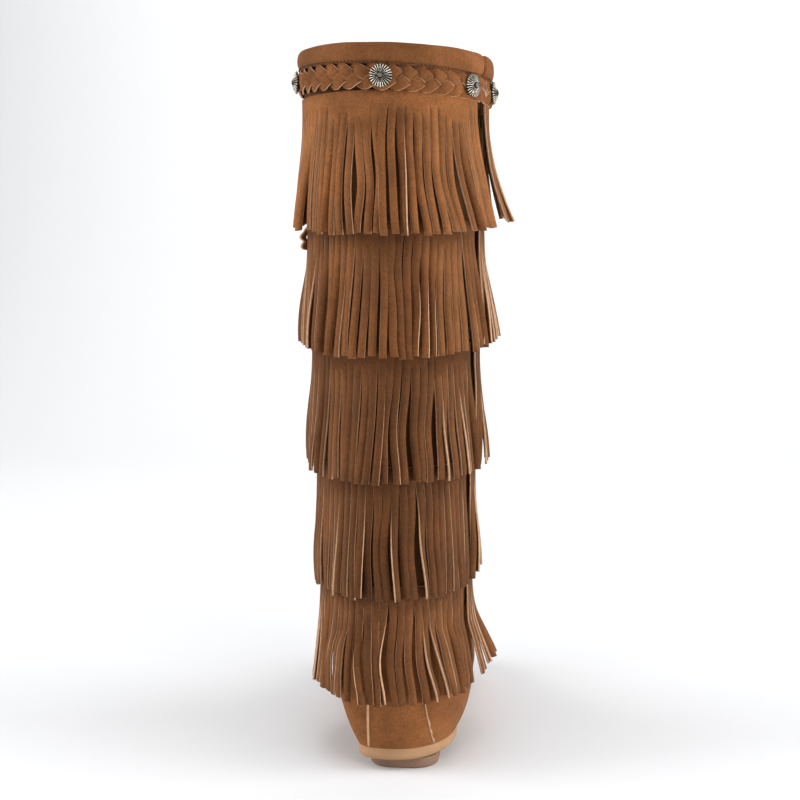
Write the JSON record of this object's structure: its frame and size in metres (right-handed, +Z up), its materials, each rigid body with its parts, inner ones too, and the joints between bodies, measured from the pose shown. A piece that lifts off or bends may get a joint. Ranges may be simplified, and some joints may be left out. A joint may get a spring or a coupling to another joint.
{
  "type": "moccasin boot",
  "caption": "Knee-high suede moccasin boot with overlapping fringe layers, braided collar with domed studs, rolled cuff, side zip and low heel.",
  "frame": {"origin": "centre of the heel lift's tread, on the ground", "axes": "+Z up the shaft, +Y towards the toe, +X towards the inner (medial) side of this left boot"},
  "size_m": [0.1262, 0.2564, 0.4349],
  "materials": {
    "suede": "napped suede",
    "thread": "waxed thread",
    "sole_rubber": "matte",
    "tread_rubber": "matte",
    "insole_board": "fibre board",
    "footbed": "lining leather",
    "stiffener": "moulded",
    "silver": "antiqued silver",
    "steel": "satin",
    "brass": "antiqued",
    "zip_tape": "woven",
    "zip_teeth": "satin"
  },
  "bodies": {
    "boot": {"heel_lift": "tread_rubber", "forepart_tread": "tread_rubber", "midsole": "sole_rubber", "insole_board": "insole_board", "footbed": "footbed", "heel_stiffener": "stiffener", "heel_panel": "suede", "moccasin_wrap": "suede", "apron": "suede", "apron_stitches": "thread", "shaft_back": "suede", "shaft_front": "suede", "fringe_1": "suede", "fringe_2": "suede", "fringe_3": "suede", "fringe_4": "suede", "fringe_5": "suede", "braid_lace_lower": "suede", "braid_lace_middle": "suede", "braid_lace_upper": "suede", "cuff": "suede", "conchos": "silver", "concho_rivets": "steel", "zip_tape_back": "zip_tape", "zip_tape_front": "zip_tape", "zip_teeth_back": "zip_teeth", "zip_teeth_front": "zip_teeth", "zip_top_stops": "steel", "zip_bottom_stop": "steel"},
    "slider": {"zip_slider": "brass"},
    "pull": {"zip_pull": "brass"}
  },
  "joints": [
    {"name": "zip_slide", "type": "slide", "parent": "boot", "child": "slider", "axis": [-0.0314, -0.001, -0.9995], "range_m": [0, 0.265]},
    {"name": "pull_hinge", "type": "hinge", "parent": "slider", "child": "pull", "pos_m": [0.04345, 0.00286, 0.39243], "axis": [-0.3253, -0.9455, 0.0112], "range_deg": [0, 120]}
  ]
}
